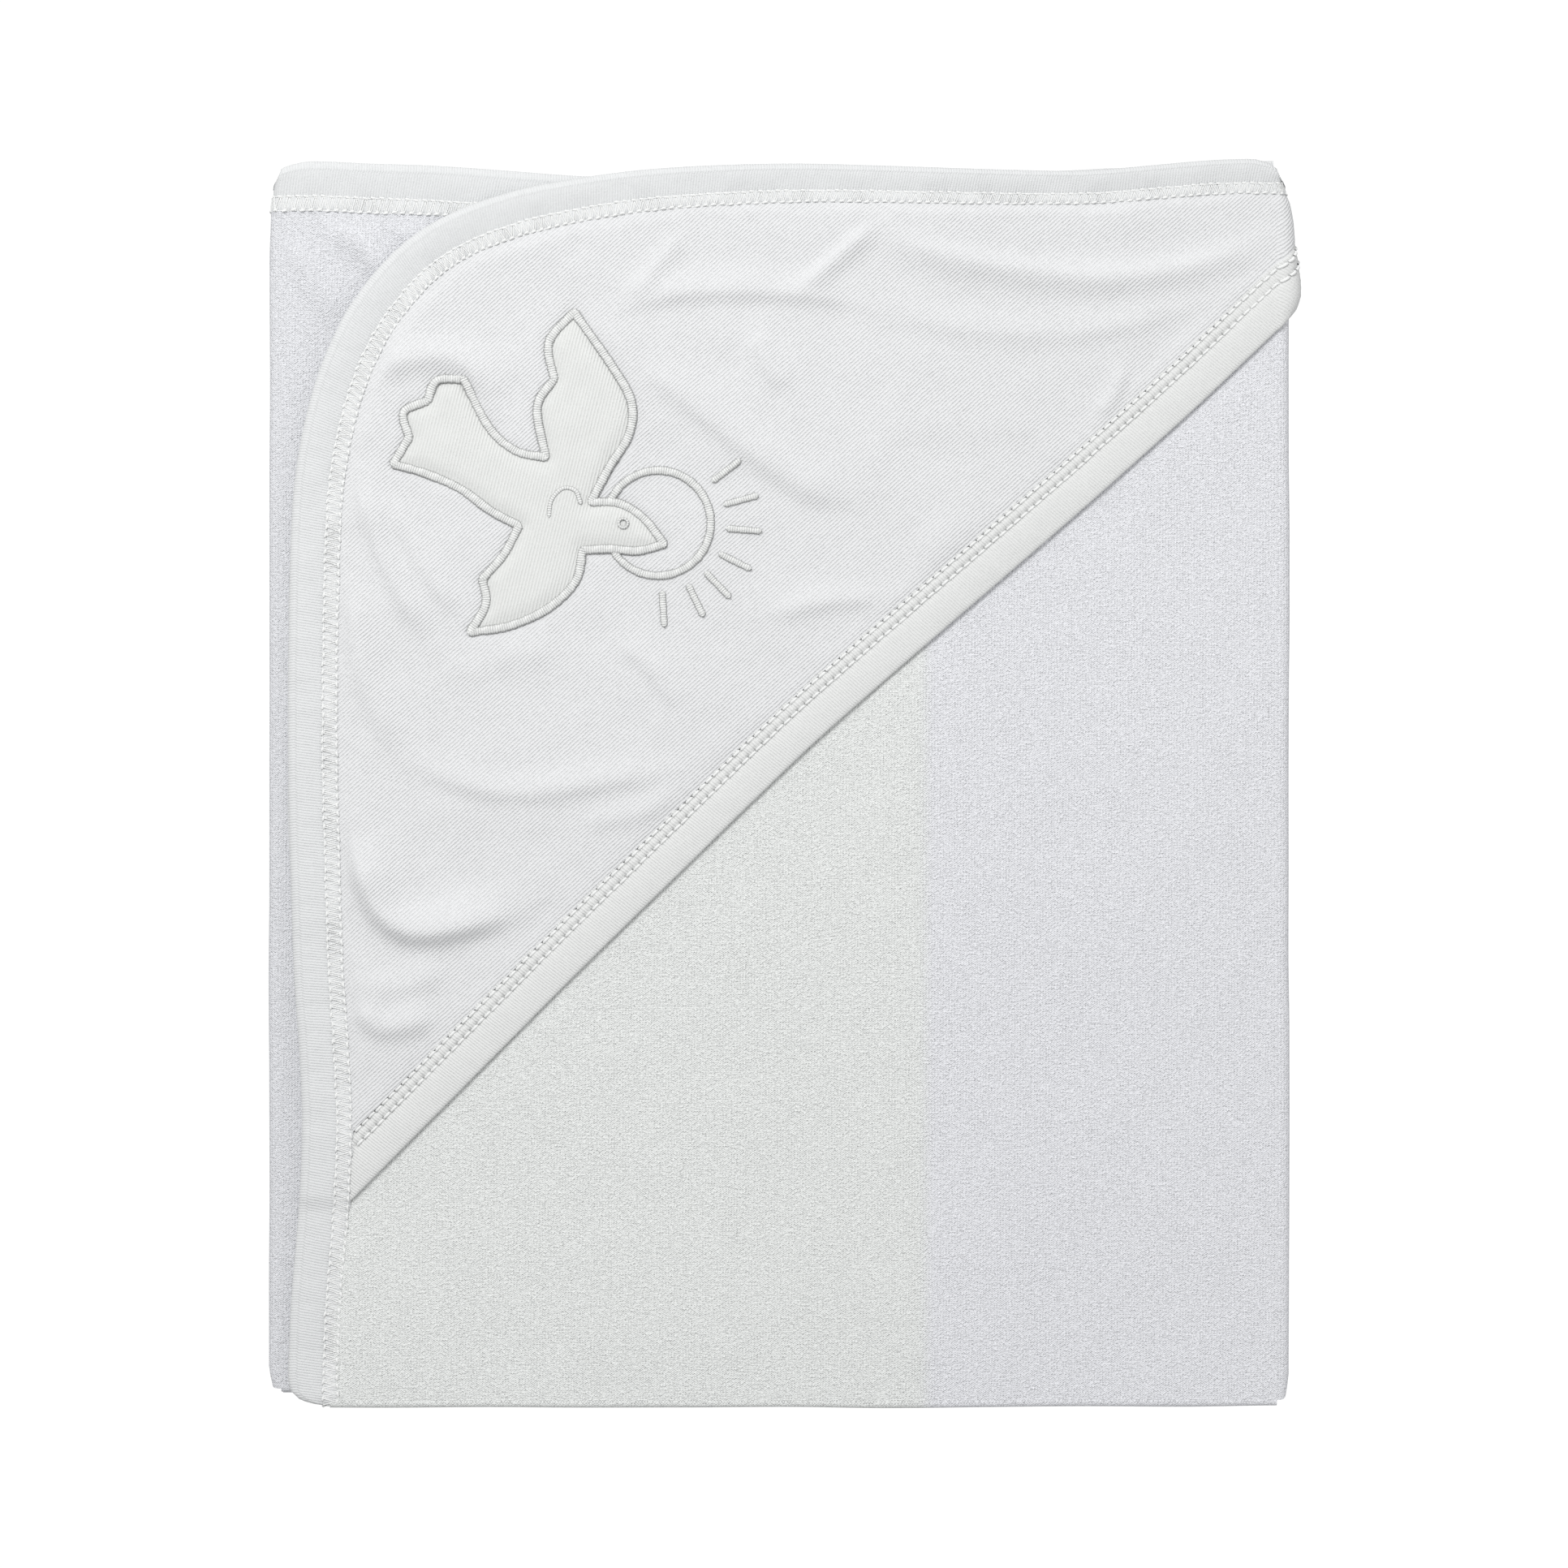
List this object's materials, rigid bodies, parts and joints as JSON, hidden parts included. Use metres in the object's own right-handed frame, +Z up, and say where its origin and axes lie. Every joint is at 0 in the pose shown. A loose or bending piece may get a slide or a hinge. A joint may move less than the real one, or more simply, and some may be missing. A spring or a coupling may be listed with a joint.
{
  "type": "hooded baby towel",
  "caption": "White hooded baby towel folded flat: terry layers with bound edges, a corner hood with taped opening and an embroidered applique motif.",
  "frame": {"origin": "centre of the overall bounding box, on the plane the folded towel lies on", "axes": "+X along the width of the folded towel, from the free bound edge to the fold; +Y towards the edge with the hood; +Z up, out of the hood side"},
  "size_m": [0.3103, 0.3754, 0.014],
  "materials": {
    "terry": "soft matt knitted terry with fine vertical wales",
    "jersey": "fine matt interlock knit",
    "binding": "ribbed knit binding tape, matt",
    "hood_tape": "ribbed knit tape, matt",
    "thread": "spun polyester sewing thread",
    "twill": "smooth woven twill",
    "satin": "glossy embroidery thread"
  },
  "bodies": {
    "bottom_layer": {"bottom_binding_back": "binding", "bottom_binding_front": "binding", "bottom_coverstitch_back": "thread", "bottom_coverstitch_front": "thread", "bottom_layer_cloth": "terry", "left_fold_binding_inner": "binding", "left_fold_binding_outer": "binding", "left_fold_inner_ply": "terry", "left_fold_outer_ply": "terry"},
    "middle_layer": {"middle_binding_back": "binding", "middle_binding_front": "binding", "middle_coverstitch_back": "thread", "middle_coverstitch_front": "thread", "middle_layer_cloth": "terry", "right_fold_binding_inner": "binding", "right_fold_binding_outer": "binding", "right_fold_hood": "jersey", "right_fold_hood_tape": "hood_tape", "right_fold_inner_ply": "terry", "right_fold_outer_ply": "terry", "hood_end_under": "jersey", "hood_tape_end_under": "hood_tape"},
    "hood_edge": {"hood_lip_needle_high": "thread", "hood_lip_needle_low": "thread", "hood_lip_panel": "jersey", "hood_lip_tape": "hood_tape"},
    "top_layer": {"bird_eye": "satin", "bird_outline": "satin", "bird_patch": "twill", "bird_wing_line": "satin", "hood_needle_high_left": "thread", "hood_needle_high_right": "thread", "hood_needle_low_left": "thread", "hood_needle_low_right": "thread", "hood_panel": "jersey", "hood_tape_left": "hood_tape", "hood_tape_right": "hood_tape", "satin_ray_1": "satin", "satin_ray_2": "satin", "satin_ray_3": "satin", "satin_ray_4": "satin", "satin_ray_5": "satin", "satin_ray_6": "satin", "satin_ray_7": "satin", "satin_ring": "satin", "top_binding_back": "binding", "top_binding_front": "binding", "top_coverstitch_back": "thread", "top_coverstitch_front": "thread", "top_layer_cloth": "terry"}
  },
  "joints": [
    {"name": "left_fold_hinge", "type": "hinge", "parent": "bottom_layer", "child": "middle_layer", "pos_m": [-0.1545, 0, 0.004], "axis": [0, -1, 0], "range_deg": [0, 180], "deforming": ["left_fold_binding_inner", "left_fold_binding_outer", "left_fold_inner_ply", "left_fold_outer_ply"]},
    {"name": "right_fold_hinge", "type": "hinge", "parent": "middle_layer", "child": "top_layer", "pos_m": [0.1514, 0, 0.0052], "axis": [0, 1, 0], "range_deg": [0, 180], "deforming": ["right_fold_binding_inner", "right_fold_binding_outer", "right_fold_hood", "right_fold_hood_tape", "right_fold_inner_ply", "right_fold_outer_ply"]},
    {"name": "hood_edge_lift", "type": "hinge", "parent": "top_layer", "child": "hood_edge", "pos_m": [-0.0223, 0.0363, 0.0132], "axis": [-0.7325, -0.6808, 0], "range_deg": [0, 60]}
  ]
}
